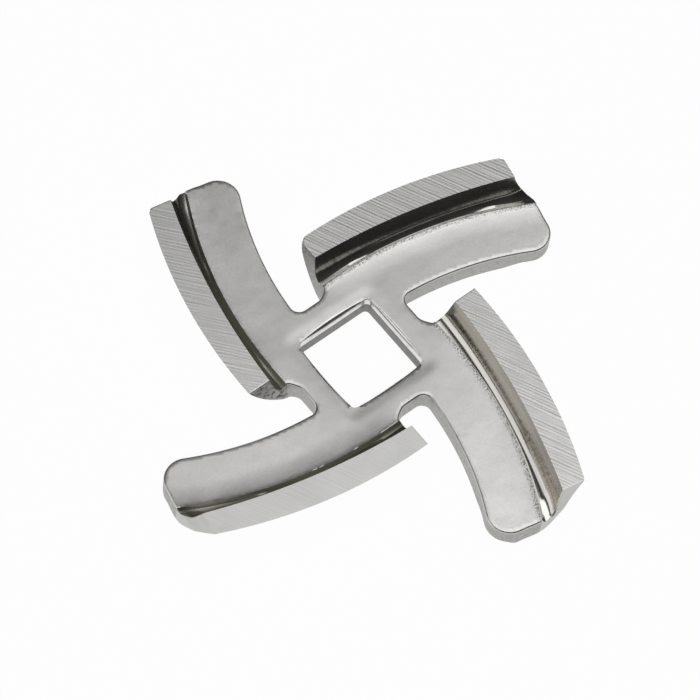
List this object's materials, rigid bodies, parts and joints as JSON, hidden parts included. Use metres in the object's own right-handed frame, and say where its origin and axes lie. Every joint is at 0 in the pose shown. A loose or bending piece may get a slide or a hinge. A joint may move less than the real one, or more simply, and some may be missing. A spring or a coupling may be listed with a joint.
{
  "type": "meat grinder knife",
  "caption": "Pressed steel meat grinder knife with swept arms, bent-up ground cutting lips and a square drive hole.",
  "frame": {"origin": "centre of the square drive hole, on the flat back face that lies on the feed screw's side", "axes": "+Z along the drive hole's axis towards the ground cutting faces; +Y along the chord of one arm, whose cutting edge leads towards -X; +X along the next arm clockwise"},
  "size_m": [0.0516, 0.0516, 0.0052],
  "materials": {
    "pressed_steel": "satin tumbled sheet with matte ground lip tops, polished coves and dull sheared walls"
  },
  "bodies": {
    "root": {"knife": "pressed_steel"}
  },
  "joints": []
}
